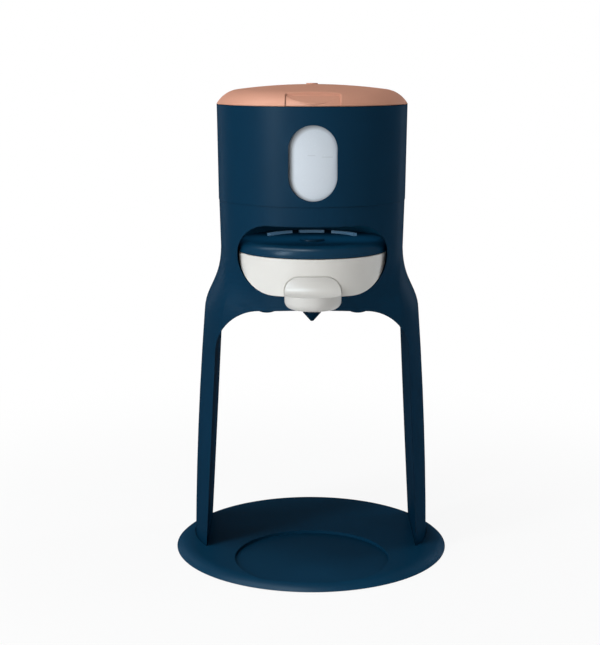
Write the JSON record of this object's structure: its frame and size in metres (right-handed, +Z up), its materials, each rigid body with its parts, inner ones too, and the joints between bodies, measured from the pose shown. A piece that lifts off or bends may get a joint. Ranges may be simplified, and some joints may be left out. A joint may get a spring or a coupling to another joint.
{
  "type": "baby formula maker",
  "caption": "Round base with a two-legged arch that carries a round head: lidded water tank, push-button panel, pull-out powder drawer and pointed outlet over a sunk bottle place.",
  "frame": {"origin": "centre of the face that the round base stands on", "axes": "+Z up, front with the drawer's grip towards -Y, +X to the right as seen from the front"},
  "size_m": [0.2, 0.212, 0.3402],
  "materials": {
    "navy_plastic": "satin moulded",
    "dark_plastic": "satin moulded",
    "copper_plastic": "satin pearl",
    "white_plastic": "satin moulded",
    "clear_plastic": "translucent",
    "light_plastic": "diffusing",
    "inner_plastic": "moulded",
    "steel": "brushed",
    "winding": "wound",
    "ceramic": "sleeved",
    "silicone": "soft",
    "rubber": "soft",
    "board": "circuit board"
  },
  "bodies": {
    "machine": {"base_plate": "navy_plastic", "anti_slip_ring": "rubber", "leg_screws": "steel", "stand_frame": "navy_plastic", "drawer_well": "dark_plastic", "deck_plate": "dark_plastic", "hole_plugs": "navy_plastic", "outlet_nozzle": "dark_plastic", "tank_casing": "navy_plastic", "sight_window": "clear_plastic", "water_tank": "clear_plastic", "tank_seal": "silicone", "heater_plate": "steel", "heating_element": "steel", "heater_support": "dark_plastic", "thermostat": "steel", "thermal_fuse": "ceramic", "inlet_tube": "silicone", "valve_body": "inner_plastic", "valve_coil": "winding", "valve_spring": "steel", "outlet_tube": "silicone", "spray_head": "inner_plastic", "control_panel": "navy_plastic", "panel_base": "dark_plastic", "panel_board": "board", "light_guides": "light_plastic", "status_lamps": "light_plastic", "button_spring": "steel", "button_switch": "rubber", "power_board": "board", "cord_inlet": "rubber", "hinge_pin": "steel"},
    "lid": {"lid": "copper_plastic", "lid_liner": "white_plastic", "lid_seal": "silicone"},
    "drawer": {"drawer_bowl": "white_plastic", "drawer_handle": "white_plastic", "mixing_strainer": "inner_plastic"},
    "button": {"push_button": "navy_plastic"},
    "plunger": {"valve_plunger": "steel"}
  },
  "joints": [
    {"name": "lid_hinge", "type": "hinge", "parent": "machine", "child": "lid", "pos_m": [0, 0.0495, 0.3279], "axis": [-1, 0, 0], "range_deg": [0, 95]},
    {"name": "drawer_slide", "type": "slide", "parent": "machine", "child": "drawer", "axis": [0, -1, 0], "range_m": [0, 0.1]},
    {"name": "button_press", "type": "slide", "parent": "machine", "child": "button", "axis": [0, 0, -1], "range_m": [0, 0.0015], "stiffness_N_per_m": 400, "deforming": ["button_spring"]},
    {"name": "plunger_stroke", "type": "slide", "parent": "machine", "child": "plunger", "axis": [0, 0, -1], "range_m": [0, 0.002], "stiffness_N_per_m": 400, "deforming": ["valve_spring"]}
  ]
}
